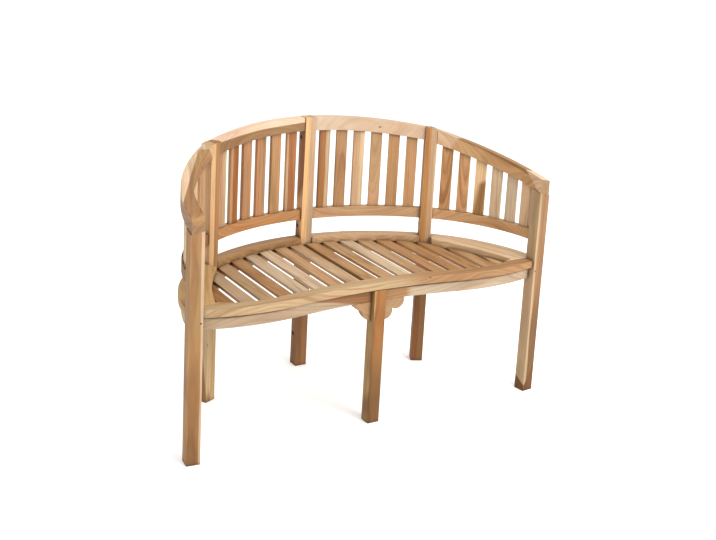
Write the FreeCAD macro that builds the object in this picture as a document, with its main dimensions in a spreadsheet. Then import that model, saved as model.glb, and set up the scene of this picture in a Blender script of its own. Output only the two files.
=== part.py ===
import FreeCAD, Part
import os

# A half-moon garden bench in teak: three posts along a curved back, three front legs,
# four slatted panels on one horseshoe line, and a crescent seat between them.
# X runs across the bench, Y from the sitter's knees to the back, and Z is up.
# The origin is on the floor, under the middle of the overall width and depth.

doc = FreeCAD.newDocument("half_moon_bench")

# Driving dimensions, in millimetres and degrees.
SIZES = [
    # Plan of the horseshoe line, which passes through the middle of every post
    ("back_radius", 654),
    ("post_angle", 37.1),
    ("arm_radius", 493.6),
    ("arm_sweep", 49.1),
    # Square posts and legs
    ("post_width", 40),
    ("side_post_turn", 26),
    ("leg_turn", 6.4),
    # Crown line of the back, slope of the arms, and the rails below it
    ("crown_height", 859),
    ("crown_radius", 2500),
    ("arm_front_height", 726),
    ("arm_crown_radius", 8400),
    ("arm_top_fall", 7),
    ("rail_height", 44),
    ("rail_thick", 35),
    ("low_rail_bottom", 515),
    ("low_rail_height", 34),
    ("low_rail_thick", 24),
    # Upright slats of the back panels
    ("back_slat_width", 37),
    ("back_slat_thick", 12),
    ("slat_housing", 10),
    # Boards that frame the seat
    ("seat_top", 454),
    ("board_thick", 24),
    ("back_board_width", 46),
    ("side_board_rear_width", 55),
    ("side_board_front_width", 92),
    ("side_board_front_bearing", 9.2),
    ("side_edge_radius", 944),
    # Wavy front board: its two bulges stand out ahead of the outer legs
    ("bulge_ahead", 41.6),
    ("bulge_spread", 385),
    ("bulge_radius", 680),
    ("front_dip", 34),
    ("front_board_middle_width", 45),
    ("front_board_bulge_width", 40),
    ("front_inner_radius", 270),
    # Aprons under the boards
    ("apron_height", 40),
    ("apron_thick", 22),
    ("front_apron_setback", 18),
    ("back_apron_setback", 10),
    # Seat slats
    ("seat_slat_top", 435),
    ("seat_slat_thick", 9),
    ("seat_slat_width", 43.5),
    ("seat_slat_gap", 17),
    ("seat_slat_shift", 17.25),
    ("slat_end_gap", 1),
    # Ledgers and the middle bearer, which carry the slats
    ("ledger_height", 22),
    ("ledger_lap", 16),
    ("ledger_under_board", 14),
    ("bearer_width", 24),
    # Scalloped brackets at the centre leg: two round lobes each, the right one fuller
    ("right_lobe_radius", 26),
    ("right_outer_lobe_out", 49),
    ("right_outer_lobe_drop", 8),
    ("right_inner_lobe_out", 10),
    ("right_inner_lobe_drop", 37),
    ("left_lobe_radius", 60),
    ("left_outer_lobe_out", 13),
    ("left_outer_lobe_rise", 30),
    ("left_inner_lobe_in", 23),
    ("left_inner_lobe_drop", 8),
    ("bracket_depth", 70),
    ("bracket_reach", 90),
    # Mortise and tenon joints
    ("tenon_length", 10),
    ("tenon_cheek", 6),
    ("tenon_shoulder", 7),
    ("tenon_edge", 5),
    ("stub_width", 20),
    ("stub_height", 14),
    ("joint_clearance", 0.2),
    # Bolts through the paired halves of the posts
    ("bolt_foot_height", 110),
    ("bolt_seat_height", 491),
    ("bolt_crown_drop", 68),
    ("bolt_set_back", 7),
    ("bolt_recess_depth", 7),
    ("bolt_recess_radius", 7),
    ("bolt_head_radius", 6),
    ("bolt_head_thick", 4),
    ("bolt_shank_radius", 3),
    # Pins in the front legs and screws under the seat slats
    ("pin_rise", 29),
    ("pin_edge_distance", 6.5),
    ("pin_radius", 2.5),
    ("pin_length", 24),
    ("pin_recess", 3),
    ("screw_radius", 1.8),
    ("screw_head_radius", 3.6),
    ("screw_head_thick", 2),
    ("screw_bite", 6),
    ("screw_end_distance", 9),
]

sizes = doc.addObject("Spreadsheet::Sheet", "Sizes")
for row, (alias, value) in enumerate(SIZES, start=1):
    sizes.set(f"A{row}", alias)
    sizes.set(f"B{row}", str(value))
    sizes.setAlias(f"B{row}", alias)

# Places that follow from the driving dimensions.
PLACES = [
    ("half_post", "Sizes.post_width / 2"),
    # Depth of the horseshoe line, from the middle post to the outer legs, and of the bench
    ("side_bearing", "90 - Sizes.post_angle"),
    ("leg_bearing", "side_bearing - Sizes.arm_sweep"),
    ("line_depth", "Sizes.back_radius * (1 - sin(side_bearing))"
                   " + Sizes.arm_radius * (sin(side_bearing) - sin(leg_bearing))"),
    ("bench_depth", "half_post + line_depth + Sizes.bulge_ahead"),
    # Centres of the posts and of the two arcs of the horseshoe line
    ("middle_y", "bench_depth / 2 - half_post"),
    ("back_y", "middle_y - Sizes.back_radius"),
    ("side_x", "Sizes.back_radius * cos(side_bearing)"),
    ("side_y", "back_y + Sizes.back_radius * sin(side_bearing)"),
    ("arm_x", "side_x - Sizes.arm_radius * cos(side_bearing)"),
    ("arm_y", "side_y - Sizes.arm_radius * sin(side_bearing)"),
    ("leg_x", "arm_x + Sizes.arm_radius * cos(leg_bearing)"),
    ("leg_y", "arm_y + Sizes.arm_radius * sin(leg_bearing)"),
    # Axes of the two round crown surfaces
    ("crown_z", "Sizes.crown_height - Sizes.crown_radius"),
    ("side_top", "crown_z + sqrt(Sizes.crown_radius ^ 2 - side_x ^ 2)"),
    ("arm_crown_turn", "side_bearing - Sizes.arm_sweep / 2"),
    ("arm_run", "2 * Sizes.arm_radius * sin(Sizes.arm_sweep / 2)"),
    ("arm_fall", "(side_top - Sizes.arm_front_height) * cos(Sizes.arm_top_fall)"),
    ("arm_chord", "sqrt(arm_run ^ 2 + arm_fall ^ 2)"),
    ("arm_rise", "sqrt(Sizes.arm_crown_radius ^ 2 - arm_chord ^ 2 / 4)"),
    ("arm_crown_shift", "arm_rise * arm_fall / arm_chord / arm_run"),
    ("arm_crown_x", "(side_x + leg_x) / 2 + arm_crown_shift * (side_x - leg_x)"),
    ("arm_crown_y", "(side_y + leg_y) / 2 + arm_crown_shift * (side_y - leg_y)"),
    ("arm_crown_z", "(side_top + Sizes.arm_front_height) / 2"
                    " - arm_rise * arm_run / arm_chord / cos(Sizes.arm_top_fall)"),
    # Levels
    ("low_rail_top", "Sizes.low_rail_bottom + Sizes.low_rail_height"),
    ("board_bottom", "Sizes.seat_top - Sizes.board_thick"),
    ("apron_bottom", "board_bottom - Sizes.apron_height"),
    ("pin_height", "apron_bottom + Sizes.pin_rise"),
    ("slat_bottom", "Sizes.seat_slat_top - Sizes.seat_slat_thick"),
    ("ledger_bottom", "slat_bottom - Sizes.ledger_height"),
    # Outer and inner edge lines of the front board
    ("bulge_y", "-bench_depth / 2"),
    ("dip_y", "bulge_y + Sizes.front_dip"),
    ("outer_sum", "(Sizes.bulge_spread ^ 2 + Sizes.front_dip ^ 2) / (2 * Sizes.front_dip)"),
    ("dip_radius", "outer_sum - Sizes.bulge_radius"),
    ("inner_bulge_y", "bulge_y + Sizes.front_board_bulge_width"),
    ("inner_dip_y", "dip_y + Sizes.front_board_middle_width"),
    ("inner_dip", "inner_dip_y - inner_bulge_y"),
    ("inner_sum", "(Sizes.bulge_spread ^ 2 + inner_dip ^ 2) / (2 * inner_dip)"),
    ("inner_dip_radius", "inner_sum - Sizes.front_inner_radius"),
    ("centre_leg_y", "dip_y + half_post"),
    ("board_joint_y", "leg_y + half_post * (cos(Sizes.leg_turn) - sin(Sizes.leg_turn))"),
    # Inner edge of the side boards: an arc through two points of the board's width
    ("side_board_out", "Sizes.arm_radius + half_post"),
    ("rear_point_x", "arm_x + (side_board_out - Sizes.side_board_rear_width) * cos(side_bearing)"),
    ("rear_point_y", "arm_y + (side_board_out - Sizes.side_board_rear_width) * sin(side_bearing)"),
    ("front_point_x", "arm_x + (side_board_out - Sizes.side_board_front_width)"
                      " * cos(Sizes.side_board_front_bearing)"),
    ("front_point_y", "arm_y + (side_board_out - Sizes.side_board_front_width)"
                      " * sin(Sizes.side_board_front_bearing)"),
    ("edge_dx", "rear_point_x - front_point_x"),
    ("edge_dy", "rear_point_y - front_point_y"),
    ("edge_chord", "sqrt(edge_dx ^ 2 + edge_dy ^ 2)"),
    ("edge_rise", "sqrt(Sizes.side_edge_radius ^ 2 - edge_chord ^ 2 / 4)"),
    ("edge_x", "(rear_point_x + front_point_x) / 2 - edge_rise * edge_dy / edge_chord"),
    ("edge_y", "(rear_point_y + front_point_y) / 2 + edge_rise * edge_dx / edge_chord"),
    ("opening_radius", "Sizes.back_radius + half_post - Sizes.back_board_width"),
    ("slat_pitch", "Sizes.seat_slat_width + Sizes.seat_slat_gap"),
]

places = doc.addObject("Spreadsheet::Sheet", "Places")
for row, (alias, formula) in enumerate(PLACES, start=1):
    places.set(f"A{row}", alias)
    places.set(f"B{row}", "=" + formula)
    places.setAlias(f"B{row}", alias)
doc.recompute()

# Frames that pieces are set out in: a post's centre, and the turn of its frame about Z.
# In each frame u runs along the horseshoe line towards the arm's front, v points outwards.
MIDDLE = ("0", "Places.middle_y", "0")
SIDE = ("Places.side_x", "Places.side_y", "(-Sizes.side_post_turn)")
LEG = ("Places.leg_x", "Places.leg_y", "(Sizes.leg_turn - 90)")
# These two look forwards instead: u runs across the bench, v towards the back.
LEG_FRONT = ("Places.leg_x", "Places.leg_y", "Sizes.leg_turn")
CENTRE = ("0", "Places.centre_leg_y", "0")

# Centre and radius of the two arcs of the horseshoe line.
BACK = ("0", "Places.back_y", "Sizes.back_radius")
ARM = ("Places.arm_x", "Places.arm_y", "Sizes.arm_radius")

HALF = "Places.half_post"
BEFORE = f"(-{HALF})"
CLEAR = "Sizes.joint_clearance"
# Longer than the whole bench, for solids that only cut.
REACH = "(Sizes.back_radius + Sizes.arm_radius + Sizes.crown_height)"


def add(kind, name, **sizes_by_property):
    """A Part object with its sizes bound to expressions."""
    item = doc.addObject("Part::" + kind, name)
    for prop, expression in sizes_by_property.items():
        item.setExpression(prop, expression)
    return item


def at(item, x, y, z, turn=None):
    """Bind an object's place, and its turn about Z."""
    item.setExpression("Placement.Base.x", x)
    item.setExpression("Placement.Base.y", y)
    item.setExpression("Placement.Base.z", z)
    if turn:
        item.setExpression("Placement.Rotation.Angle", turn)
    return item


def box(name, x0, x1, y0, y1, z0, z1):
    """A box given by its limits."""
    item = add("Box", name, Length=f"({x1}) - ({x0})", Width=f"({y1}) - ({y0})", Height=f"({z1}) - ({z0})")
    return at(item, x0, y0, z0)


def local_box(name, frame, u0, u1, v0, v1, z0, z1):
    """A box given by its limits in a post's frame."""
    x, y, turn = frame
    item = add("Box", name, Length=f"({u1}) - ({u0})", Width=f"({v1}) - ({v0})", Height=f"({z1}) - ({z0})")
    return at(item, f"{x} + ({u0}) * cos({turn}) - ({v0}) * sin({turn})",
              f"{y} + ({u0}) * sin({turn}) + ({v0}) * cos({turn})", z0, turn)


def drum(name, x, y, radius, z0, z1):
    """An upright round solid between two heights."""
    return at(add("Cylinder", name, Radius=radius, Height=f"({z1}) - ({z0})"), x, y, z0)


def rod(name, axis, start, length, radius):
    """A round solid that lies along X or Y."""
    item = add("Cylinder", name, Radius=radius, Height=length)
    turned = (FreeCAD.Vector(0, 1, 0), 90) if axis == "x" else (FreeCAD.Vector(1, 0, 0), -90)
    item.Placement.Rotation = FreeCAD.Rotation(*turned)
    return at(item, *start)


def group(name, pieces):
    """Separate solids that share one node, or tools that cut together."""
    item = doc.addObject("Part::Compound", name)
    item.Links = pieces
    return item


def in_frame(name, frame, pieces):
    """Solids made at the origin of a post's frame, put where the post stands."""
    x, y, turn = frame
    return at(group(name, pieces), x, y, "0", turn)


def fuse(name, pieces):
    item = doc.addObject("Part::MultiFuse", name)
    item.Shapes = pieces
    item.Refine = True
    return item


def common(name, base, tool):
    item = doc.addObject("Part::Common", name)
    item.Base = base
    item.Tool = tool
    return item


def cut(name, base, *tools):
    """The base less every tool."""
    item = doc.addObject("Part::Cut", name)
    item.Base = base
    item.Tool = tools[0] if len(tools) == 1 else group(name + "_tools", list(tools))
    return item


def mirrored(name, piece):
    """The left-hand twin of a right-hand piece."""
    item = doc.addObject("Part::Mirroring", name)
    item.Source = piece
    item.Normal = (1, 0, 0)
    return item


nodes = []


def node(label, piece):
    """A finished sub-part: its label names its file."""
    piece.Label = label
    nodes.append(piece)


def pair(label, piece):
    """A right-hand sub-part and its mirrored left-hand twin."""
    node("right_" + label, piece)
    node("left_" + label, mirrored("mirrored_" + label, piece))


# Crown surfaces. The back's top line is an arc seen from the front. Each arm's top is a
# long arc seen square to the arm, and falls a little outwards. Both are also used a
# named depth lower.

def back_crown(name, depth):
    item = add("Cylinder", name, Radius=f"Sizes.crown_radius - ({depth})", Height=REACH)
    item.Placement.Rotation = FreeCAD.Rotation(FreeCAD.Vector(1, 0, 0), 90)
    return at(item, "0", f"{REACH} / 2", "Places.crown_z")


def arm_crown(name, depth):
    item = add("Cylinder", name, Radius=f"Sizes.arm_crown_radius - ({depth})", Height=f"2 * {REACH}")
    item.Placement.Rotation = FreeCAD.Rotation(FreeCAD.Vector(0, 1, 0), 90)
    fall = "Sizes.arm_top_fall"
    at(item, f"-{REACH} * cos({fall})", "0", f"{REACH} * sin({fall})", f"90 + {fall}")
    return at(group(name + "_turned", [item]), "Places.arm_crown_x", "Places.arm_crown_y",
              "Places.arm_crown_z", "Places.arm_crown_turn")


DEPTHS = {
    "top": "0",
    "under": "Sizes.rail_height",
    "slat": "Sizes.rail_height - Sizes.slat_housing",
    "housing": f"Sizes.rail_height - Sizes.slat_housing - {CLEAR}",
    "leg": f"Sizes.rail_height + {CLEAR}",
}
back_crowns = {name: back_crown(f"back_crown_{name}", depth) for name, depth in DEPTHS.items()}
arm_crowns = {name: arm_crown(f"arm_crown_{name}", depth) for name, depth in DEPTHS.items()}


# Curved strips that rails, aprons, boards and ledgers are cut from. Each strip is a
# function of how far its two faces are planed back, so a tenon follows its own rail.

def ring(line, inner, outer):
    """A strip along an arc of the horseshoe line, between two offsets from it."""
    x, y, radius = line

    def strip(name, planed, z0, z1):
        outside = drum(name + "_outside", x, y, f"{radius} + ({outer}) - ({planed})", z0, z1)
        inside = drum(name + "_inside", x, y, f"{radius} + ({inner}) + ({planed})", z0, z1)
        return cut(name, outside, inside)
    return strip


OUTER_WAVE = ("Places.dip_y", "Places.dip_radius", "Places.bulge_y", "Sizes.bulge_radius", "Places.outer_sum")
INNER_WAVE = ("Places.inner_dip_y", "Places.inner_dip_radius", "Places.inner_bulge_y",
              "Sizes.front_inner_radius", "Places.inner_sum")


def behind_wave(name, wave, inset, rear, z0, z1):
    """All from a wavy edge line back to rear: one hollow arc between two bulging ones."""
    dip, dip_radius, bulge, bulge_radius, radius_sum = wave
    turn = f"Sizes.bulge_spread * ({dip_radius} + {inset}) / {radius_sum}"
    hollow = cut(name + "_hollow", box(name + "_block", f"-({turn})", turn, "Places.bulge_y", rear, z0, z1),
                 drum(name + "_dip", "0", f"{dip} - {dip_radius}", f"{dip_radius} + {inset}", z0, z1))
    bulging = common(name + "_right", drum(name + "_bulge", "Sizes.bulge_spread", f"{bulge} + {bulge_radius}",
                                           f"{bulge_radius} - ({inset})", z0, z1),
                     box(name + "_beside", turn, REACH, "Places.bulge_y", rear, z0, z1))
    return fuse(name, [hollow, bulging, mirrored(name + "_left", bulging)])


def wavy(front, back):
    """A strip along the front board's outer edge line, between two insets."""
    def strip(name, planed, z0, z1):
        return cut(name, behind_wave(name + "_front", OUTER_WAVE, f"({front} + {planed})", HALF, z0, z1),
                   behind_wave(name + "_back", OUTER_WAVE, f"({back} - ({planed}))", HALF, z0, z1))
    return strip


def between(name, start, start_face, end, end_face, z0, z1):
    """The space from one frame's plane at start_face to another frame's at end_face."""
    ahead = local_box(name + "_ahead", start, start_face, REACH, f"-{REACH}", REACH, z0, z1)
    beyond = local_box(name + "_beyond", end, end_face, REACH, f"-{REACH}", REACH, z0, z1)
    return cut(name, ahead, beyond)


def tenon(name, strip, frame, face, z0, z1, grow="0"):
    """The end of a strip inside a post, entered at that face; grow makes its mortise."""
    root = f"({HALF} + {CLEAR} + {grow})"
    tip = f"({HALF} - Sizes.tenon_length - {grow})"
    u0, u1 = (tip, root) if face > 0 else (f"-{root}", f"-{tip}")
    side = f"({HALF} - Sizes.tenon_edge + {grow})"
    level0 = f"{z0} + Sizes.tenon_shoulder - {grow}"
    level1 = f"{z1} - Sizes.tenon_shoulder + {grow}"
    return common(name, strip(name + "_strip", f"Sizes.tenon_cheek - {grow}", level0, level1),
                  local_box(name + "_box", frame, u0, u1, f"-{side}", side, level0, level1))


mortises = {}


def tenoned(name, bar, strip, ends):
    """A bar with a tenon on each end; every end also leaves its mortise tool."""
    pieces = [bar]
    for post, frame, face, z0, z1 in ends:
        pieces.append(tenon(f"{name}_tenon_{post}", strip, frame, face, z0, z1))
        mortise = tenon(f"{name}_mortise_{post}", strip, frame, face, z0, z1, CLEAR)
        mortises.setdefault(post, []).append(mortise)
    return fuse(name, pieces)


# Joints of the outer front legs: a stub tenon up into the arm rail, and a sunk pin
# through the front face, which locks the tenon of the front apron.

stub_half = "Sizes.stub_width / 2"
under_arm = "Sizes.arm_front_height - Sizes.rail_height"
stub = local_box("leg_stub", LEG_FRONT, f"-{stub_half}", stub_half, f"-{stub_half}", stub_half,
                 f"{under_arm} - Sizes.stub_width", f"{under_arm} + Sizes.stub_height")
stub_mortise = local_box("leg_stub_mortise", LEG_FRONT, f"-{stub_half} - {CLEAR}", f"{stub_half} + {CLEAR}",
                         f"-{stub_half} - {CLEAR}", f"{stub_half} + {CLEAR}", f"{under_arm} - Sizes.stub_width",
                         f"{under_arm} + Sizes.stub_height + {CLEAR}")
pin_u = f"-{HALF} + Sizes.pin_edge_distance"
pin_hole = in_frame("pin_hole", LEG_FRONT, [
    rod("pin_bore", "y", (pin_u, f"-{HALF} - {CLEAR}", "Places.pin_height"),
        f"Sizes.pin_recess + Sizes.pin_length + {CLEAR}", "Sizes.pin_radius")])
pin = in_frame("right_pin", LEG_FRONT, [
    rod("pin_rod", "y", (pin_u, f"-{HALF} + Sizes.pin_recess", "Places.pin_height"),
        "Sizes.pin_length", "Sizes.pin_radius")])

# Back panels. Each of the four has a bent top rail, a bent lower rail and upright
# slats between them, all on the horseshoe line and tenoned into the posts.

PANEL_SLATS = 6
SLAT_FLOOR = "(Places.low_rail_top - Sizes.slat_housing)"


def slat_frames(line, start, sweep):
    """The frames of a panel's slats, with equal gaps from post face to post face."""
    x, y, radius = line
    gap = (f"({radius} * {sweep} * pi / 180 - Sizes.post_width"
           f" - {PANEL_SLATS} * Sizes.back_slat_width) / {PANEL_SLATS + 1}")
    for index in range(PANEL_SLATS):
        along = f"({HALF} + {gap} * {index + 1} + Sizes.back_slat_width * {index + 0.5})"
        bearing = f"({start} - {along} / {radius} * 180 / pi)"
        yield (f"{x} + {radius} * cos({bearing})", f"{y} + {radius} * sin({bearing})", f"({bearing} - 90)")


def slat_blanks(name, frames, grow):
    """The panel's slats before their tops are cut to the crown."""
    half = f"(Sizes.back_slat_width / 2 + {grow})"
    thick = f"(Sizes.back_slat_thick / 2 + {grow})"
    return group(name, [local_box(f"{name}_{index}", frame, f"-{half}", half, f"-{thick}", thick,
                                  SLAT_FLOOR, "Sizes.crown_height")
                        for index, frame in enumerate(frames)])


def panel(name, line, start, sweep, crowns, rear, front, top_front, *more_tools):
    """Both rails and the slats of one panel, between two posts."""
    frames = list(slat_frames(line, start, sweep))
    slats = common(name + "_slats", slat_blanks(name + "_blank", frames, "0"), crowns["slat"])
    housings = common(name + "_housings", slat_blanks(name + "_housing", frames, CLEAR), crowns["housing"])

    strip = ring(line, "-Sizes.rail_thick / 2", "Sizes.rail_thick / 2")
    levels = ("Sizes.low_rail_bottom", "Sizes.crown_height")
    bar = common(name + "_bent_bar", strip(name + "_top_strip", "0", *levels),
                 between(name + "_top_space", *rear[:2], *top_front, *levels))
    crowned = cut(name + "_sawn_bar", common(name + "_crowned_bar", bar, crowns["top"]), crowns["under"])
    ends = [end for end in (rear[2], front[2]) if end]
    top = cut(name + "_top_rail", tenoned(name + "_top", crowned, strip, ends), housings, *more_tools)

    strip = ring(line, "-Sizes.low_rail_thick / 2", "Sizes.low_rail_thick / 2")
    levels = ("Sizes.low_rail_bottom", "Places.low_rail_top")
    bar = common(name + "_low_bar", strip(name + "_low_strip", "0", *levels),
                 between(name + "_low_space", *rear[:2], *front[:2], *levels))
    ends = [(rear[3], rear[0], 1, *levels), (front[3], front[0], -1, *levels)]
    low = cut(name + "_lower_rail", tenoned(name + "_low", bar, strip, ends), housings)
    pair(name + "_top_rail", top)
    pair(name + "_lower_rail", low)
    pair(name + "_panel_slats", slats)


TOP_AT_MIDDLE = ("Sizes.crown_height - Sizes.rail_height", "Sizes.crown_height")
TOP_AT_SIDE = ("Places.side_top - Sizes.rail_height", "Places.side_top")

panel("back", BACK, "90", "Sizes.post_angle", back_crowns,
      (MIDDLE, HALF, ("middle", MIDDLE, 1, *TOP_AT_MIDDLE), "middle"),
      (SIDE, BEFORE, ("side_back", SIDE, -1, *TOP_AT_SIDE), "side_back"),
      (SIDE, BEFORE))
panel("arm", ARM, "Places.side_bearing", "Sizes.arm_sweep", arm_crowns,
      (SIDE, HALF, ("side_arm", SIDE, 1, *TOP_AT_SIDE), "side_arm"),
      (LEG, BEFORE, None, "leg"),
      (LEG, HALF), stub_mortise)

# Seat opening: the space inside the boards, which the slats fill a step lower.

def opening(name, inset, z0, z1):
    """The seat opening with its edge moved inwards by a distance."""
    front = behind_wave(name + "_front", INNER_WAVE, inset, "Places.middle_y", z0, z1)
    back = drum(name + "_back", "0", "Places.back_y", f"Places.opening_radius - ({inset})", z0, z1)
    side = drum(name + "_side", "Places.edge_x", "Places.edge_y", f"Sizes.side_edge_radius - ({inset})", z0, z1)
    sides = common(name + "_sides", side, mirrored(name + "_other_side", side))
    return common(name, common(name + "_round", back, sides), front)


# Seat boards: flat teak boards on the aprons, butted against the posts and the legs.

BOARD = ("Places.board_bottom", "Sizes.seat_top")
board_opening = opening("board_opening", "0", *BOARD)
leg_room = local_box("leg_room", LEG_FRONT, BEFORE, REACH, f"-{REACH}", HALF, *BOARD)

back_strip = ring(BACK, f"{HALF} - Sizes.back_board_width", HALF)
pair("back_seat_board", common("back_board", back_strip("back_board_strip", "0", *BOARD),
                               between("back_board_space", MIDDLE, HALF, SIDE, BEFORE, *BOARD)))

side_disc = drum("side_board_disc", "Places.arm_x", "Places.arm_y", "Places.side_board_out", *BOARD)
side_space = common("side_board_space",
                    local_box("side_board_ahead", SIDE, HALF, REACH, f"-{REACH}", REACH, *BOARD),
                    box("side_board_behind_joint", "Sizes.bulge_spread", REACH,
                        "Places.board_joint_y", REACH, *BOARD))
pair("side_seat_board", cut("side_board", common("side_board_blank", side_disc, side_space),
                            board_opening, leg_room))

front_edge = behind_wave("front_board_edge", OUTER_WAVE, "0", HALF, *BOARD)
front_reach = box("front_board_reach", f"-{REACH}", REACH, "Places.bulge_y", "Places.inner_dip_y", *BOARD)
front_stop = fuse("front_board_stop", [
    local_box("front_board_leg_stop", LEG_FRONT, BEFORE, REACH, f"-{REACH}", REACH, *BOARD),
    box("front_board_joint_stop", "Sizes.bulge_spread", REACH, "Places.board_joint_y", REACH, *BOARD)])
node("front_seat_board", cut("front_board", common("front_board_blank", front_edge, front_reach),
                             board_opening, front_stop, mirrored("front_board_other_stop", front_stop)))

# Aprons: upright rails under the boards, tenoned into the posts and the legs.

APRON = ("Places.apron_bottom", "Places.board_bottom")
back_apron_strip = ring(BACK, "Sizes.back_apron_setback - Sizes.apron_thick", "Sizes.back_apron_setback")
side_apron_strip = ring(ARM, "Sizes.back_apron_setback - Sizes.apron_thick", "Sizes.back_apron_setback")
front_apron_strip = wavy("Sizes.front_apron_setback", "Sizes.front_apron_setback + Sizes.apron_thick")


def apron(label, strip, ends):
    """An apron between two posts; each end names its post, frame and face."""
    (_, rear, rear_side), (_, front, front_side) = ends
    space = between(label + "_space", rear, HALF if rear_side > 0 else BEFORE,
                    front, HALF if front_side > 0 else BEFORE, *APRON)
    bar = common(label + "_bar", strip(label + "_strip", "0", *APRON), space)
    return tenoned(label + "_tenoned", bar, strip, [(*end, *APRON) for end in ends])


pair("back_apron", apron("back_apron", back_apron_strip, [("middle", MIDDLE, 1), ("side_back", SIDE, -1)]))
pair("side_apron", apron("side_apron", side_apron_strip, [("side_arm", SIDE, 1), ("leg", LEG, -1)]))
front_apron = apron("front_apron", front_apron_strip, [("centre", CENTRE, 1), ("leg", LEG_FRONT, -1)])
pair("front_apron", cut("front_apron_bored", front_apron, pin_hole))

# Brackets under the front aprons, one on each side of the centre leg: the underside
# of each is sawn in two round lobes, and its faces follow the apron above. They were
# sawn by hand, so the right one is fuller than the left one.

BRACKET = ("Places.apron_bottom - Sizes.bracket_depth", "Places.apron_bottom")
bracket_blank = common("bracket_blank", front_apron_strip("bracket_strip", "0", *BRACKET),
                       box("bracket_space", HALF, f"{HALF} + Sizes.bracket_reach",
                           "Places.bulge_y", HALF, *BRACKET))


def lobe(name, out, drop, radius):
    """A round solid along Y that one lobe of the sawn edge belongs to."""
    centre = (f"{HALF} + {out}", "Places.bulge_y", f"Places.apron_bottom - {drop}")
    return rod(name, "y", centre, REACH, radius)


right_web = box("right_web", HALF, f"{HALF} + Sizes.right_outer_lobe_out", "Places.bulge_y", HALF,
                "Places.apron_bottom - (Sizes.right_outer_lobe_drop + Sizes.right_inner_lobe_drop) / 2",
                "Places.apron_bottom")
right_lobes = fuse("right_lobes", [
    lobe("right_outer_lobe", "Sizes.right_outer_lobe_out", "Sizes.right_outer_lobe_drop",
         "Sizes.right_lobe_radius"),
    lobe("right_inner_lobe", "Sizes.right_inner_lobe_out", "Sizes.right_inner_lobe_drop",
         "Sizes.right_lobe_radius"),
    right_web])
left_lobes = fuse("left_lobes", [
    lobe("left_outer_lobe", "Sizes.left_outer_lobe_out", "-Sizes.left_outer_lobe_rise",
         "Sizes.left_lobe_radius"),
    lobe("left_inner_lobe", "-Sizes.left_inner_lobe_in", "Sizes.left_inner_lobe_drop",
         "Sizes.left_lobe_radius")])
node("centre_leg_brackets", group("both_brackets", [
    common("right_bracket", bracket_blank, right_lobes),
    mirrored("left_bracket", common("left_bracket_blank", bracket_blank, left_lobes))]))

# Ledgers inside the aprons, and the bearer from the centre leg to the middle post.
# The slats lie on them and are screwed from below. Ledgers are notched round the posts.

LEDGER = ("Places.ledger_bottom", "Places.slat_bottom")
bearer_side = "Sizes.bearer_width / 2"
post_room = local_box("middle_post_room", MIDDLE, BEFORE, HALF, BEFORE, HALF, *LEDGER)
leg_post_room = local_box("centre_leg_room", CENTRE, BEFORE, HALF, BEFORE, HALF, *LEDGER)
side_room = local_box("side_post_room", SIDE, BEFORE, HALF, BEFORE, HALF,
                      "Places.ledger_bottom", "Places.board_bottom")
inner_radius = "Places.opening_radius - Sizes.ledger_lap"
apron_face = "Sizes.back_radius + Sizes.back_apron_setback - Sizes.apron_thick"
back_ledger_ring = cut("back_ledger_ring",
                       drum("back_ledger_outside", "0", "Places.back_y", apron_face, *LEDGER),
                       drum("back_ledger_inside", "0", "Places.back_y", inner_radius, *LEDGER))
back_ledger = cut("back_ledger", common("back_ledger_blank", back_ledger_ring,
                                        between("back_ledger_space", MIDDLE, bearer_side, SIDE, "0", *LEDGER)),
                  post_room, side_room)

# The side ledger has a raised lip that meets the underside of the board.
ledger_joint_y = "Places.board_joint_y + Sizes.ledger_lap"


def side_strip(name, inner, outer, z0, z1):
    """A strip along the side board's inner edge, between two offsets from it."""
    centre = ("Places.edge_x", "Places.edge_y")
    outside = drum(name + "_outside", *centre, f"Sizes.side_edge_radius + {outer}", z0, z1)
    inside = drum(name + "_inside", *centre, f"Sizes.side_edge_radius + {inner}", z0, z1)
    space = common(name + "_space", local_box(name + "_ahead", SIDE, "0", REACH, f"-{REACH}", REACH, z0, z1),
                   box(name + "_behind", "0", REACH, ledger_joint_y, REACH, z0, z1))
    return common(name, cut(name + "_ring", outside, inside), space)


side_ledger = cut("side_ledger", fuse("side_ledger_whole", [
    side_strip("side_ledger_shelf", "-Sizes.ledger_lap", "Sizes.ledger_under_board", *LEDGER),
    side_strip("side_ledger_lip", "0", "Sizes.ledger_under_board", "Places.ledger_bottom",
               "Places.board_bottom")]),
    side_room)

front_inset = "(Sizes.front_apron_setback + Sizes.apron_thick)"
front_ledger_blank = common("front_ledger_blank",
                            behind_wave("front_ledger_front", OUTER_WAVE, front_inset, HALF, *LEDGER),
                            box("front_ledger_space", bearer_side, REACH,
                                "Places.bulge_y", ledger_joint_y, *LEDGER))
front_ledger = cut("front_ledger", front_ledger_blank,
                   behind_wave("front_ledger_back", INNER_WAVE, "Sizes.ledger_lap", HALF, *LEDGER),
                   leg_post_room,
                   local_box("front_ledger_stop", LEG_FRONT, BEFORE, REACH, f"-{REACH}", REACH, *LEDGER))

bearer_bar = box("bearer_bar", f"-{bearer_side}", bearer_side, f"Places.centre_leg_y + {HALF}",
                 f"Places.middle_y - {HALF}", *LEDGER)


def bearer_tenon(name, y0, y1, grow="0"):
    """The bearer's stub end inside the leg or the paired post."""
    cheek = f"({bearer_side} - Sizes.tenon_cheek + {grow})"
    return box(name, f"-{cheek}", cheek, f"{y0} - {grow}", f"{y1} + {grow}",
               f"Places.ledger_bottom + Sizes.tenon_shoulder - {grow}",
               f"Places.slat_bottom - Sizes.tenon_shoulder + {grow}")


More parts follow.
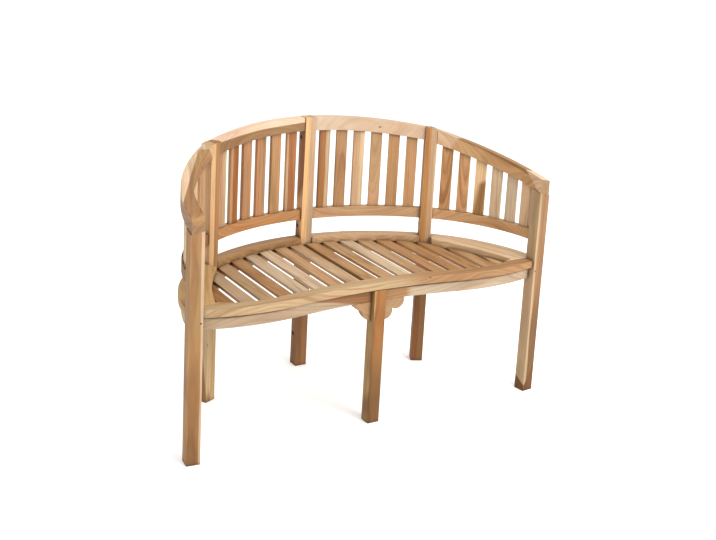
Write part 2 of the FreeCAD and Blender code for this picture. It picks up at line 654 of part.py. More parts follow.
front_end = (f"Places.centre_leg_y + {HALF} - Sizes.tenon_length", f"Places.centre_leg_y + {HALF}")
rear_end = (f"Places.middle_y - {HALF}", f"Places.middle_y - {HALF} + Sizes.tenon_length")
node("middle_bearer", fuse("bearer", [bearer_bar, bearer_tenon("bearer_front_tenon", *front_end),
                                      bearer_tenon("bearer_rear_tenon", *rear_end)]))
mortises["centre"].append(bearer_tenon("bearer_front_mortise", *front_end, CLEAR))
mortises["middle"].append(bearer_tenon("bearer_rear_mortise", *rear_end, CLEAR))

# Seat slats: straight thin laths from front to back, cut to the opening's outline.

SLAT = ("Places.slat_bottom", "Sizes.seat_slat_top")
SLATS_EACH_WAY = 8
slat_opening = opening("slat_opening", "Sizes.slat_end_gap", *SLAT)
front_screw_line = "(Sizes.slat_end_gap + Sizes.screw_end_distance)"


def screw_places(x):
    """Where a slat's two screws stand: near its front end and near its rear end."""
    across = f"abs({x})"
    dip, dip_radius, bulge, bulge_radius, radius_sum = INNER_WAVE
    inset = front_screw_line
    hollow = f"{dip} - {dip_radius} + sqrt(({dip_radius} + {inset}) ^ 2 - ({across}) ^ 2)"
    reach = f"max(0; ({bulge_radius} - {inset}) ^ 2 - ({across} - Sizes.bulge_spread) ^ 2)"
    bulging = f"{bulge} + {bulge_radius} - sqrt({reach})"
    turn = f"Sizes.bulge_spread * ({dip_radius} + {inset}) / {radius_sum}"
    back = f"Places.back_y + sqrt((Places.opening_radius - {inset}) ^ 2 - ({across}) ^ 2)"
    side = f"Places.edge_y + sqrt((Sizes.side_edge_radius - {inset}) ^ 2 - ({across} - Places.edge_x) ^ 2)"
    return [f"({across} < {turn} ? {hollow} : {bulging})", f"min({back}; {side})"]


screws = []
screw_holes = []
slats = []
for number in range(-SLATS_EACH_WAY, SLATS_EACH_WAY + 1):
    label = f"seat_slat_{number + SLATS_EACH_WAY + 1:02d}"
    centre = f"(Sizes.seat_slat_shift + Places.slat_pitch * {number})"
    half_width = "Sizes.seat_slat_width / 2"
    lath = box(label + "_lath", f"{centre} - {half_width}", f"{centre} + {half_width}",
               "Places.bulge_y", "Places.middle_y", *SLAT)
    slats.append((label, common(label + "_cut", lath, slat_opening)))
    # The outermost slat is cut to a wedge, so its screws stand near its longer edge.
    last = number == SLATS_EACH_WAY
    screw_x = f"({centre} - {half_width} + Sizes.screw_end_distance)" if last else centre
    for end, screw_y in zip(("front", "rear"), screw_places(screw_x)):
        name = f"{label}_{end}"
        head_z = "Places.ledger_bottom - Sizes.screw_head_thick"
        tip_z = "Places.slat_bottom + Sizes.screw_bite"
        screws.append(fuse(name + "_screw", [
            drum(name + "_shank", screw_x, screw_y, "Sizes.screw_radius", head_z, tip_z),
            drum(name + "_head", screw_x, screw_y, "Sizes.screw_head_radius", head_z, "Places.ledger_bottom")]))
        screw_holes.append(drum(name + "_hole", screw_x, screw_y, f"Sizes.screw_radius + {CLEAR}",
                                head_z, f"{tip_z} + {CLEAR}"))

all_holes = group("slat_screw_holes", screw_holes)
for label, slat in slats:
    node(label, cut(label + "_bored", slat, all_holes))
ledgers = {"front_ledger": front_ledger, "back_ledger": back_ledger, "side_ledger": side_ledger}
for label, ledger in ledgers.items():
    node("right_" + label, cut(label + "_right", ledger, all_holes))
    node("left_" + label, cut(label + "_left", mirrored(label + "_twin", ledger), all_holes))
node("slat_screws", group("all_screws", screws))

# Bolts that clamp the two halves of each paired post, with round heads and hexagonal
# nuts, both sunk in the outer faces of the halves.


def bolt_set(name, frame, heights, head_side):
    """Recess and shank tools, and the bolts with their nuts, for one paired post."""
    floor = f"({HALF} - Sizes.bolt_recess_depth)"
    tools = []
    hardware = []
    for index, height in enumerate(heights):
        tag = f"{name}_{index}"

        def lying(part, u0, length, radius):
            return rod(f"{tag}_{part}", "x", (u0, "Sizes.bolt_set_back", height), length, radius)
        tools.append(lying("hole", f"-{HALF}", "Sizes.post_width", f"Sizes.bolt_shank_radius + {CLEAR}"))
        tools.append(lying("left_recess", f"-{HALF} - {CLEAR}", f"Sizes.bolt_recess_depth + {CLEAR}",
                           "Sizes.bolt_recess_radius"))
        tools.append(lying("right_recess", floor, f"Sizes.bolt_recess_depth + {CLEAR}",
                           "Sizes.bolt_recess_radius"))
        left_u = f"-{floor} - Sizes.bolt_head_thick"
        head_u, nut_u = (left_u, floor) if head_side < 0 else (floor, left_u)
        shank = lying("shank", left_u, f"2 * {floor} + 2 * Sizes.bolt_head_thick", "Sizes.bolt_shank_radius")
        head = lying("head", head_u, "Sizes.bolt_head_thick", "Sizes.bolt_head_radius")
        nut = add("Prism", f"{tag}_nut", Circumradius="Sizes.bolt_head_radius", Height="Sizes.bolt_head_thick")
        nut.Polygon = 6
        nut.Placement.Rotation = FreeCAD.Rotation(FreeCAD.Vector(0, 1, 0), 90)
        at(nut, nut_u, "Sizes.bolt_set_back", height)
        hole = lying("nut_hole", nut_u, "Sizes.bolt_head_thick", f"Sizes.bolt_shank_radius + {CLEAR}")
        hardware.append(fuse(f"{tag}_bolt", [shank, head]))
        hardware.append(cut(f"{tag}_bored_nut", nut, hole))
    return in_frame(name + "_tools", frame, tools), in_frame(name + "_hardware", frame, hardware)


low_bolts = ["Sizes.bolt_foot_height", "Sizes.bolt_seat_height"]
middle_heights = low_bolts + ["Sizes.crown_height - Sizes.bolt_crown_drop"]
side_heights = low_bolts + ["Places.side_top - Sizes.bolt_crown_drop"]
middle_tools, middle_bolts = bolt_set("middle_bolt", MIDDLE, middle_heights, -1)
side_tools, side_bolts = bolt_set("side_bolt", SIDE, side_heights, 1)
node("panel_bolts", group("all_bolts", [middle_bolts, side_bolts, mirrored("other_side_bolts", side_bolts)]))

# Posts: each is two boards face to face, so that the panels come apart.


def post_half(name, frame, u0, u1, crown, tools):
    board = local_box(name + "_board", frame, u0, u1, BEFORE, HALF, "0", "Sizes.crown_height")
    return cut(name, common(name + "_crowned", board, crown), *tools)


pair("middle_post_half", post_half("middle_half", MIDDLE, "0", HALF, back_crowns["top"],
                                   mortises["middle"] + [middle_tools]))
pair("side_post_back_half", post_half("side_back_half", SIDE, BEFORE, "0", back_crowns["top"],
                                      mortises["side_back"] + [side_tools]))
pair("side_post_arm_half", post_half("side_arm_half", SIDE, "0", HALF, arm_crowns["top"],
                                     mortises["side_arm"] + [side_tools]))

# Front legs: solid square legs. The outer two carry the arms, the centre one the seat.

leg_board = local_box("leg_board", LEG_FRONT, BEFORE, HALF, BEFORE, HALF, "0", "Sizes.crown_height")
leg = fuse("leg_with_stub", [common("leg_crowned", leg_board, arm_crowns["leg"]), stub])
pair("front_leg", cut("front_leg", leg, *mortises["leg"], pin_hole))
node("tenon_pins", group("both_pins", [pin, mirrored("left_pin", pin)]))

centre_board = local_box("centre_board", CENTRE, BEFORE, HALF, BEFORE, HALF, "0", "Places.board_bottom")
centre_tools = group("centre_tools", mortises["centre"])
node("centre_front_leg", cut("centre_leg", centre_board, centre_tools,
                             mirrored("centre_other_tools", centre_tools)))

doc.recompute()

# Nothing is written unless every object is sound.
for item in doc.Objects:
    if "Invalid" in item.State or "Error" in item.State:
        raise RuntimeError(f"{item.Name} failed: {item.State}")
for piece in nodes:
    if piece.Shape.isNull() or not piece.Shape.isValid() or not piece.Shape.Solids:
        raise RuntimeError(f"{piece.Label} has no sound solid")

os.makedirs("parts", exist_ok=True)
for piece in nodes:
    piece.Shape.exportStep(f"parts/{piece.Label}.step")
    print(piece.Label, len(piece.Shape.Solids), round(piece.Shape.Volume))
print(len(nodes), "sub-parts")
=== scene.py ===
import math

import bmesh
import bpy
from mathutils import Matrix, Vector


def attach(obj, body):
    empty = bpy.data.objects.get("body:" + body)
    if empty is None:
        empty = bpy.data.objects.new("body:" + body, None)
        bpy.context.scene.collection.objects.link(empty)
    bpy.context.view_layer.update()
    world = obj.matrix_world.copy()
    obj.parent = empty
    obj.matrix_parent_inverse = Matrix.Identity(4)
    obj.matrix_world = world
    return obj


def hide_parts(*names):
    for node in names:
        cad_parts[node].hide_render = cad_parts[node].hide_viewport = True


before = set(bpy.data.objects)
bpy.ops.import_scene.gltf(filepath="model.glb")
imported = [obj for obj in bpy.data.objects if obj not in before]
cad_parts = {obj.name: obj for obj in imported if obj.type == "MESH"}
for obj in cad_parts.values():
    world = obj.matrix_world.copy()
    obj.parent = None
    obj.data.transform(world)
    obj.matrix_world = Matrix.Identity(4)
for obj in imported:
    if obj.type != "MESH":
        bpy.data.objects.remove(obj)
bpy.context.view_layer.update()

# Middle post
# Two planed teak boards face to face, bolted together, so that the bench comes apart
# there. The left board is orange-brown with a darker side, the right one paler and greyer.
UP = Vector((0, 0, 1))
BACKWARDS = Vector((0, 1, 0))
# One millimetre, in the scene's metres.
MM = 0.001
# Names of the pieces made so far. Their number gives each board a grain of its own.
made = []


def linear(hex_colour):
    """An sRGB hex colour as the linear RGBA that a shader takes."""
    srgb = [int(hex_colour[i:i + 2], 16) / 255 for i in (0, 2, 4)]
    return (*(c / 12.92 if c <= 0.04045 else ((c + 0.055) / 1.055) ** 2.4 for c in srgb), 1)


def add(tree, kind, inputs=None, **settings):
    """Adds a shader node with its settings, and gives its outputs. The inputs, by name or
    number, take values or other nodes' outputs. Of a map range 1 and 2 are the range that
    comes in and 3 and 4 what it becomes, and of a colour mix 6 and 7 are the colours."""
    node = tree.nodes.new("ShaderNode" + kind)
    for key, value in settings.items():
        setattr(node, key, value)
    for socket, value in (inputs or {}).items():
        if isinstance(value, bpy.types.NodeSocket):
            tree.links.new(value, node.inputs[socket])
        else:
            node.inputs[socket].default_value = value
    return node.outputs


def planed_teak(grain, centre, heart, zones=(), knot=None, pith=(60, 35), tilt=(0, 0), ring=6.5,
                figure=0.5):
    """Unfinished teak, planed and sanded: matt, with growth rings round a pith axis that
    lies beside the board, and darker streaks along them. Lengths are millimetres from the
    piece's middle, with X along the grain. The pith is (y, z), tilted in degrees about
    (z, y). A zone is wood of another colour, such as pale sapwood: its colour, how soft
    its edge is, and the planes (x, y, z, distance) that it lies past. A knot is
    (x, y, z, radius). Figure is how strongly the rings and streaks show."""
    board = len(made) + 1
    material = bpy.data.materials.new(f"planed_teak_{board}")
    material.diffuse_color = linear(heart)
    material.use_nodes = True
    tree = material.node_tree
    tree.nodes.clear()
    where = add(tree, "TexCoord")
    mm = add(tree, "Mapping", {"Vector": where["Object"], "Location": centre,
                               "Rotation": grain.to_euler(), "Scale": (MM, MM, MM)},
             vector_type="TEXTURE")[0]
    # Every board is cut from another place in the tree.
    cut = add(tree, "VectorMath", {0: mm, 1: (board * 517, board * 291, board * 733)})[0]
    # The fibres wander 8 mm to either side, in waves 290 mm long and 80 mm apart.
    wander = 16
    slow = add(tree, "VectorMath", {0: cut, 1: (0.0035, 0.012, 0.012)}, operation="MULTIPLY")[0]
    sway = add(tree, "TexNoise", {"Vector": slow, "Scale": 1, "Detail": 2})["Color"]
    sway = add(tree, "VectorMath", {0: sway, 1: (0.5, 0.5, 0.5)}, operation="SUBTRACT")[0]
    swayed = add(tree, "VectorMath", {0: sway, 1: (0, wander, wander), 2: mm},
                 operation="MULTIPLY_ADD")[0]
    pith_y, pith_z = pith
    about_z, about_y = (math.radians(angle) for angle in tilt)
    from_pith = add(tree, "Mapping", {"Vector": swayed, "Location": (0, -pith_y, -pith_z),
                                      "Rotation": (0, about_y, about_z)})[0]
    across = add(tree, "VectorMath", {0: from_pith, 1: (0, 1, 1)}, operation="MULTIPLY")[0]
    radius = add(tree, "VectorMath", {0: across}, operation="LENGTH")["Value"]
    if knot:
        # A knot is twice as long as wide. It pushes the rings round itself by twice its size.
        *place, size = knot
        off = add(tree, "VectorMath", {0: mm, 1: place}, operation="SUBTRACT")[0]
        off = add(tree, "VectorMath", {0: off, 1: (0.45 / size, 1 / size, 1 / size)},
                  operation="MULTIPLY")[0]
        near = add(tree, "VectorMath", {0: off}, operation="LENGTH")["Value"]
        square = add(tree, "Math", {0: near, 1: 2}, operation="POWER")[0]
        bell = add(tree, "Math", {0: 0.45, 1: square}, operation="POWER")[0]
        radius = add(tree, "Math", {0: bell, 1: 2.2 * size, 2: radius}, operation="MULTIPLY_ADD")[0]
        core = add(tree, "MapRange", {"Value": near, 1: 0.25, 2: 0.8, 3: 1, 4: 0},
                   interpolation_type="SMOOTHSTEP")[0]
    # Rings, unevenly spaced: a soft rise and then a darker late-wood line.
    uneven = 22
    loose = add(tree, "TexNoise", {"W": radius, "Scale": 0.035, "Detail": 1},
                noise_dimensions="1D")[0]
    spaced = add(tree, "Math", {0: loose, 1: uneven, 2: radius}, operation="MULTIPLY_ADD")[0]
    turns = add(tree, "Math", {0: spaced, 1: 1 / ring}, operation="MULTIPLY")[0]
    phase = add(tree, "Math", {0: turns}, operation="FRACT")[0]
    late = add(tree, "ValToRGB", {0: phase})[0]
    ramp = late.node.color_ramp
    ramp.elements[0].color = (0, 0, 0, 1)
    ramp.elements[1].position = 0.8
    ramp.elements[1].color = (1, 1, 1, 1)
    ramp.elements.new(0.35).color = (0.12, 0.12, 0.12, 1)
    ramp.elements.new(1.0).color = (0.05, 0.05, 0.05, 1)
    # Streaks of darker heartwood, a finger wide (12 mm), that keep to the rings.
    streak_at = add(tree, "CombineXYZ", {0: add(tree, "SeparateXYZ", {0: slow})[0], 1: radius})[0]
    streak_at = add(tree, "VectorMath", {0: streak_at, 1: (1, 0.085, 1), 2: (board * 9, board * 5, 0)},
                    operation="MULTIPLY_ADD")[0]
    streaks = add(tree, "TexNoise", {"Vector": streak_at, "Scale": 1, "Detail": 3, "Roughness": 0.6})
    streak = add(tree, "MapRange", {"Value": streaks[0], 1: 0.42, 2: 0.72, 3: 0, 4: 1},
                 interpolation_type="SMOOTHSTEP")[0]
    yellow = add(tree, "SeparateXYZ", {0: streaks[1]})[1]
    yellow = add(tree, "MapRange", {"Value": yellow, 1: 0.3, 2: 0.7})[0]
    # Pores and fibres, drawn a millimetre wide, twice their real width, so that they show.
    fine_at = add(tree, "VectorMath", {0: cut, 1: (0.02, 1.1, 1.1)}, operation="MULTIPLY")[0]
    fine = add(tree, "TexNoise", {"Vector": fine_at, "Scale": 1, "Detail": 2, "Roughness": 0.7})[0]
    # Blotches, 170 mm long and 50 mm wide.
    cloud_at = add(tree, "VectorMath", {0: cut, 1: (0.006, 0.02, 0.02)}, operation="MULTIPLY")[0]
    cloud = add(tree, "TexNoise", {"Vector": cloud_at, "Scale": 1, "Detail": 3})[0]

    colour = linear(heart)
    for tone, soft, *planes in zones:
        past = 1
        for x, y, z, distance in planes:
            edge = add(tree, "VectorMath", {0: swayed, 1: (x, y, z)}, operation="DOT_PRODUCT")["Value"]
            edge = add(tree, "Math", {0: cloud, 1: 0.8 * soft, 2: edge}, operation="MULTIPLY_ADD")[0]
            side = add(tree, "MapRange", {"Value": edge, 1: distance - 0.6 * soft,
                                          2: distance + 1.4 * soft, 3: 0, 4: 1},
                       interpolation_type="SMOOTHSTEP")[0]
            past = add(tree, "Math", {0: past, 1: side}, operation="MULTIPLY")[0]
        colour = add(tree, "Mix", {"Factor": past, 6: colour, 7: linear(tone)}, data_type="RGBA")[2]
    # Late wood and streaks are the same wood, darker and redder.
    lined = add(tree, "Math", {0: late, 1: 0.55 * figure}, operation="MULTIPLY")[0]
    streaked = add(tree, "Math", {0: streak, 1: 0.9 * figure, 2: lined}, operation="MULTIPLY_ADD")[0]
    dark = add(tree, "Mix", {"Factor": 1, 6: colour, 7: (0.62, 0.51, 0.4, 1)}, data_type="RGBA",
               blend_type="MULTIPLY")[2]
    colour = add(tree, "Mix", {"Factor": streaked, 6: colour, 7: dark}, data_type="RGBA")[2]
    # Some streaks are pinker and others yellower.
    tint = add(tree, "Mix", {"Factor": yellow, 6: (1.05, 0.97, 0.95, 1), 7: (0.97, 1.03, 0.99, 1)},
               data_type="RGBA")[2]
    colour = add(tree, "Mix", {"Factor": 1, 6: colour, 7: tint}, data_type="RGBA",
                 blend_type="MULTIPLY")[2]
    if knot:
        colour = add(tree, "Mix", {"Factor": core, 6: colour, 7: linear("5a3217")}, data_type="RGBA")[2]
    # End grain drinks in more light, and blotches and fibres are a little lighter or darker.
    facing = add(tree, "VectorMath", {0: where["Normal"], 1: grain.col[0]},
                 operation="DOT_PRODUCT")["Value"]
    end = add(tree, "Math", {0: facing}, operation="ABSOLUTE")[0]
    end = add(tree, "MapRange", {"Value": end, 1: 0.75, 2: 1, 3: 1, 4: 0.78})[0]
    blotch = add(tree, "MapRange", {"Value": cloud, 1: 0.3, 2: 0.7, 3: 0.92, 4: 1.08})[0]
    fibre = add(tree, "MapRange", {"Value": fine, 1: 0.3, 2: 0.7, 3: 0.93, 4: 1.07})[0]
    shade = add(tree, "Math", {0: blotch, 1: fibre}, operation="MULTIPLY")[0]
    # Painted shade: the inner corners are darker for about a centimetre, where shade falls.
    open_air = add(tree, "AmbientOcclusion", {"Distance": 14 * MM}, samples=6)["AO"]
    painted_corner_shade = add(tree, "MapRange", {"Value": open_air, 1: 0.4, 2: 0.97, 3: 0.42, 4: 1})[0]
    shade = add(tree, "Math", {0: shade, 1: painted_corner_shade}, operation="MULTIPLY")[0]
    shade = add(tree, "Math", {0: shade, 1: end}, operation="MULTIPLY")[0]
    colour = add(tree, "VectorMath", {0: colour, "Scale": shade}, operation="SCALE")[0]
    # Sanded smooth but open-pored: matt, with the late wood a hair proud of the rest.
    rough = add(tree, "MapRange", {"Value": fine, 1: 0.3, 2: 0.7, 3: 0.68, 4: 0.56})[0]
    relief = add(tree, "Math", {0: late, 1: 0.5, 2: fine}, operation="MULTIPLY_ADD")[0]
    bump = add(tree, "Bump", {"Height": relief, "Strength": 0.35, "Distance": 0.25 * MM})[0]
    shader = add(tree, "BsdfPrincipled", {"Base Color": colour, "Roughness": rough, "IOR": 1.5,
                                          "Specular IOR Level": 0.3, "Normal": bump})[0]
    add(tree, "OutputMaterial", {0: shader})
    return material


def solids_of(node):
    """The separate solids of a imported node, welded, each as points and faces, from left to
    right."""
    mesh = bmesh.new()
    mesh.from_mesh(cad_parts[node].data)
    bmesh.ops.remove_doubles(mesh, verts=mesh.verts, dist=1e-6)
    mesh.verts.index_update()
    unseen = set(mesh.verts)
    solids = []
    for first in mesh.verts:
        if first not in unseen:
            continue
        unseen.discard(first)
        reached = [first]
        for vert in reached:
            for edge in vert.link_edges:
                other = edge.other_vert(vert)
                if other in unseen:
                    unseen.discard(other)
                    reached.append(other)
        order = {vert: i for i, vert in enumerate(reached)}
        faces = sorted({face for vert in reached for face in vert.link_faces},
                       key=lambda face: face.index)
        solids.append(([vert.co.copy() for vert in reached],
                       [[order[vert] for vert in face.verts] for face in faces]))
    mesh.free()
    return sorted(solids, key=lambda solid: sum(point.x for point in solid[0]) / len(solid[0]))


def middle_of(points):
    """The middle of the box round some points."""
    low = Vector([min(p[i] for p in points) for i in range(3)])
    high = Vector([max(p[i] for p in points) for i in range(3)])
    return (low + high) / 2


def teak(node, heart, along, up, solid=None, arris=1.3, shaped=None, **wood):
    """One wooden piece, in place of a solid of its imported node, or of the only one. Its
    arrises are sanded off, in millimetres. X of its grain runs along, and Z is square to
    the wide face nearest to up: both are directions, or functions of the piece's points."""
    points, faces = solid or solids_of(node)[0]
    x_axis = (along(points) if callable(along) else along).normalized()
    up = up(points) if callable(up) else up
    name = f"{node}_teak_{sum(other.startswith(node) for other in made) + 1}"
    mesh = bpy.data.meshes.new(name)
    mesh.from_pydata(points, [], faces)
    shape = bmesh.new()
    shape.from_mesh(mesh)
    # The solid comes in triangles, so those of a flat face are joined again.
    bmesh.ops.dissolve_limit(shape, angle_limit=math.radians(0.15), verts=shape.verts,
                             edges=shape.edges)
    bmesh.ops.recalc_face_normals(shape, faces=shape.faces)
    for face in shape.faces:
        face.smooth = True
    wide = [face for face in shape.faces
            if face.normal.dot(up) > 0.7 and abs(face.normal.dot(x_axis)) < 0.02]
    if wide:
        up = max(wide, key=lambda face: face.calc_area()).normal
    z_axis = (up - up.dot(x_axis) * x_axis).normalized()
    grain = Matrix((x_axis, z_axis.cross(x_axis), z_axis)).transposed()
    if shaped:
        shaped(shape)
    shape.to_mesh(mesh)
    shape.free()
    mesh.materials.append(planed_teak(grain, middle_of(points), heart, **wood))
    piece = bpy.data.objects.new(name, mesh)
    bpy.context.scene.collection.objects.link(piece)
    bevel = piece.modifiers.new("arris", "BEVEL")
    bevel.width = arris * MM
    bevel.segments = 2
    bevel.limit_method = "ANGLE"
    bevel.angle_limit = math.radians(35)
    bevel.harden_normals = True
    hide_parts(node)
    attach(piece, "root")
    made.append(name)


# A post's grain has X up, Y to the bench's right and Z to the back. Towards the foot
# its colour changes slowly, mostly to darker: painted shade under the seat.
PAINTED_FOOT_SHADE = (60, (-1, 0, 0, 30))
teak("left_middle_post_half", "cda574", UP, BACKWARDS, figure=0.6,
     zones=[("89572d", 1, (0, -1, 0, 9)), ("764f27", *PAINTED_FOOT_SHADE)])
teak("right_middle_post_half", "ab8f74", UP, BACKWARDS, figure=0.4, zones=[("815a36", *PAINTED_FOOT_SHADE)])

# Side posts
# The same paired boards where the back meets the arms, turned to face the sitter. The
# arm's half and the back's half come from different planks, so their colours differ.
OUT_LEFT = Vector((-0.44, 0.9, 0))
OUT_RIGHT = Vector((0.44, 0.9, 0))
# Their foot zones, too, are painted shade.
teak("left_side_post_arm_half", "b9956d", UP, OUT_LEFT, arris=2.5, figure=0.5, knot=(-222, -8, -22, 5),
     zones=[("a98f6c", *PAINTED_FOOT_SHADE), ("815a33", 3, (-0.133, 0, 0.991, 33.6))])
teak("left_side_post_back_half", "96714a", UP, OUT_LEFT, arris=2.5, figure=0.6,
     zones=[("a48a60", *PAINTED_FOOT_SHADE)])
teak("right_side_post_back_half", "9f7141", UP, OUT_RIGHT, figure=0.7, zones=[("71471f", *PAINTED_FOOT_SHADE)])
teak("right_side_post_arm_half", "a88b6b", UP, OUT_RIGHT, figure=0.5,
     zones=[("bf9d7c", 2, (0, 1, 0, 4)), ("75512d", *PAINTED_FOOT_SHADE)])

# Front legs
# Solid square teak legs. The outer two carry the arms' front ends, the centre one the
# middle of the seat. Each outer leg shows pale sapwood down one arris.
# The first zone of each leg darkens it slowly towards the foot: painted shade.
teak("left_front_leg", "8f6c44", UP, BACKWARDS, arris=2.5, figure=0.7, pith=(-10, 40),
     zones=[("835d35", 110, (-1, 0, 0, -10)), ("967247", 1, (0, -1, 0, 19)),
            ("b0947a", 2, (0.012, 1, 0, 13.5))])
# The last two zones leave a tongue of sapwood that ends in a point above the brown foot.
teak("right_front_leg", "876544", UP, BACKWARDS, arris=2.5, figure=0.6, pith=(70, 20),
     zones=[("694b2b", 100, (-1, 0, 0, 50)), ("a68e6f", 2.5, (0, -1, 0, 11)),
            ("653e15", 2, (-1, 0, 0.66, 313)), ("653e15", 2, (-1, 2, 0, 291))])
teak("centre_front_leg", "8d5e2d", UP, BACKWARDS, arris=2.5, figure=0.9, pith=(10, 50),
     zones=[("6d4a21", 100, (-1, 0, 0, -10)), ("9b7c4d", 1, (0, -1, 0, 19))])


# Top rails
# Bent rails, each sawn in one piece from a thick plank, so their grain runs straight
# while they curve. The left arm's front end is rounded over to fall to the leg.
def chord(points):
    """The straight line between the two ends of a curved piece, towards the bench's right."""
    left = min(points, key=lambda p: p.x)
    right = max(points, key=lambda p: p.x)
    return Vector((right.x - left.x, right.y - left.y, 0))


def arm_chord(points):
    """The straight line along an arm's piece, from the front leg to the side post."""
    return max(points, key=lambda p: p.y) - min(points, key=lambda p: p.y)


def round_nose(shape):
    """Rounds an arm's top over to its front end, with a radius of 18 mm."""
    nose = 18 * MM
    end = min(shape.faces, key=lambda face: face.calc_center_median().y).normal.copy()
    front = max(vert.co.dot(end) for vert in shape.verts)
    for angle in (5, 15, 30, 45, 60, 75, 90):
        back = front - nose * (1 - math.cos(math.radians(angle)))
        bmesh.ops.bisect_plane(shape, geom=shape.verts[:] + shape.edges[:] + shape.faces[:],
                               dist=1e-5, plane_co=end * back, plane_no=end)
    tops = [vert for vert in shape.verts if any(face.normal.z > 0.8 for face in vert.link_faces)]
    for vert in tops:
        ahead = nose - (front - vert.co.dot(end))
        if ahead > 0:
            vert.co.z -= nose - math.sqrt(max(nose ** 2 - ahead ** 2, 0))


# Pale sapwood runs along the left one's upper edge. The right one is a little yellower
# towards the middle post.
teak("left_back_top_rail", "826444", chord, UP, arris=2, figure=0.6, pith=(90, -40),
     zones=[("ccaf97", 2, (-0.063, 0, 1, 13))])
teak("right_back_top_rail", "b29980", chord, UP, arris=2, figure=0.35, pith=(80, 10),
     knot=(34.6, 6, 2, 4), zones=[("b7a28a", 40, (-1, 0, 0, 60))])
# Brown on top, sapwood on the outer side, greyer below, and sapwood again at the post.
teak("left_arm_top_rail", "99784d", arm_chord, UP, arris=3, shaped=round_nose, figure=0.7,
     pith=(-30, -45), knot=(118, -2, -8, 6),
     zones=[("8c6741", 2, (0, 0, 1, 25)), ("bea689", 1.5, (0.118, 0.983, -0.143, 25.4)),
            ("906f52", 3, (0, 0.4, -1, -4)), ("b19a7c", 1.5, (1, -0.2, 0.4, 193))])
# Brown on top, a pale triangle at the front, paler at the post, and the brown front end.
teak("right_arm_top_rail", "b28b62", arm_chord, UP, arris=2, figure=0.6, pith=(60, -30),
     zones=[("8c6a43", 2, (0, 0, 1, 19)), ("c5a98b", 1, (-0.49, 0.171, 0.855, 88)),
            ("b89d7f", 3, (0.453, 0, 0.142, 63)), ("907454", 0.4, (-0.93, 0.32, 0.2, 200.3))])

# Lower rails
# Thinner bent rails that hold the lower ends of the slats, tenoned into the posts.
for node, heart, along in (("left_back_lower_rail", "aa7b50", chord),
                           ("right_back_lower_rail", "b08d69", chord),
                           ("left_arm_lower_rail", "7d5834", arm_chord),
                           ("right_arm_lower_rail", "bc966c", arm_chord)):
    teak(node, heart, along, UP, arris=2, figure=0.6)

# Back and arm slats
# Thin planed slats let into grooves of both rails, six to a panel. They were sawn from
# many planks, so red, brown and pale ones stand side by side, some with two tones.
WOOD_OF_SLATS = {
    "left_back_panel_slats": (
        dict(heart="a89a76", zones=[("aa7f65", 2, (0, -1, 0, -2))]),
        dict(heart="8d592c", zones=[("a17d5c", 2, (0, -1, 0, 6))]),
        dict(heart="a07754"),
        dict(heart="a97853", zones=[("9c7d5e", 1.5, (0, 1, 0, 1))]),
        dict(heart="a37c56"),
        dict(heart="96643d", zones=[("b18d6a", 2, (0, -1, 0, 10))])),
    "right_back_panel_slats": (
        dict(heart="8e6036", zones=[("b39a7c", 2, (0, 1, 0, 4))]),
        dict(heart="9c7651", pith=(4, 30), tilt=(0, 3)),
        dict(heart="b39473", zones=[("bda684", 2, (0, 1, 0, 4))]),
        dict(heart="ac8965", pith=(-3, 24), tilt=(0, -3)),
        dict(heart="a37c54"),
        dict(heart="aa845d")),
    "left_arm_panel_slats": (
        dict(heart="b9a27a"),
        dict(heart="bda585"),
        dict(heart="bca071"),
        dict(heart="b08155"),
        dict(heart="bea780"),
        dict(heart="ac8966")),
    "right_arm_panel_slats": (
        # Cathedral figure: the saw ran close past the heart of the tree.
        dict(heart="b0855a", pith=(-2, 18), tilt=(0, -5), ring=7, figure=1.2),
        dict(heart="bd9067", pith=(9, 20), tilt=(0, -5), figure=1.1),
        # Brown wood comes in from one side, in the lower half only.
        dict(heart="dab891", zones=[("967045", 9, (-0.12, 1, 0, -4), (-1, 0.5, 0, -14))]),
        dict(heart="c9b498"),
        dict(heart="c8b49b"),
        dict(heart="ccad8d")),
}


def outwards(points):
    """The level way from the middle of the seat to an upright piece."""
    away = middle_of(points) - Vector((0, -0.2, 0))
    return Vector((away.x, away.y, 0)).normalized()


for node, slats in WOOD_OF_SLATS.items():
    for solid, wood in zip(solids_of(node), slats):
        teak(node, along=UP, up=outwards, solid=solid, **{"figure": 0.7, **wood})

# Aprons
# Upright rails under the seat boards, tenoned into posts and legs. The two front ones
# have brown heartwood towards the centre leg, and a dark line under the board that is a painted shadow.
for node, heart, along, zones in (
        ("left_front_apron", "9a866d", chord,
         [("7e5530", 4, (0.2, 0, 1, 25)), ("5c4025", 3, (0, 0, 1, 12))]),
        ("right_front_apron", "a38f78", chord,
         [("8e6942", 14, (-1, 0, 0, 185)), ("5e4226", 3, (0, 0, 1, 12))]),
        ("left_side_apron", "a69269", arm_chord, []),
        ("right_side_apron", "b98d60", arm_chord, []),
        ("left_back_apron", "c09467", chord, []),
        ("right_back_apron", "bb8d5f", chord, [])):
    teak(node, heart, along, UP, arris=2, figure=0.6, zones=zones)

# Brackets
# Two small scalloped brackets, sawn by hand, glued under the front aprons against the
# centre leg.
for solid, heart in zip(solids_of("centre_leg_brackets"), ("927351", "927453")):
    teak("centre_leg_brackets", heart, chord, UP, solid=solid, figure=0.5)

# Ledgers and bearer
# Rough-sawn strips inside the aprons and one bearer under the middle, on which the seat
# slats lie. They hardly show.
for node, heart, along in (("left_front_ledger", "a57b50", chord),
                           ("right_front_ledger", "a67b50", chord),
                           ("left_back_ledger", "a77d52", chord),
                           ("right_back_ledger", "a87e53", chord),
                           ("left_side_ledger", "a97f54", arm_chord),
                           ("right_side_ledger", "aa8055", arm_chord),
                           ("middle_bearer", "a47646", BACKWARDS)):
    teak(node, heart, along, UP)

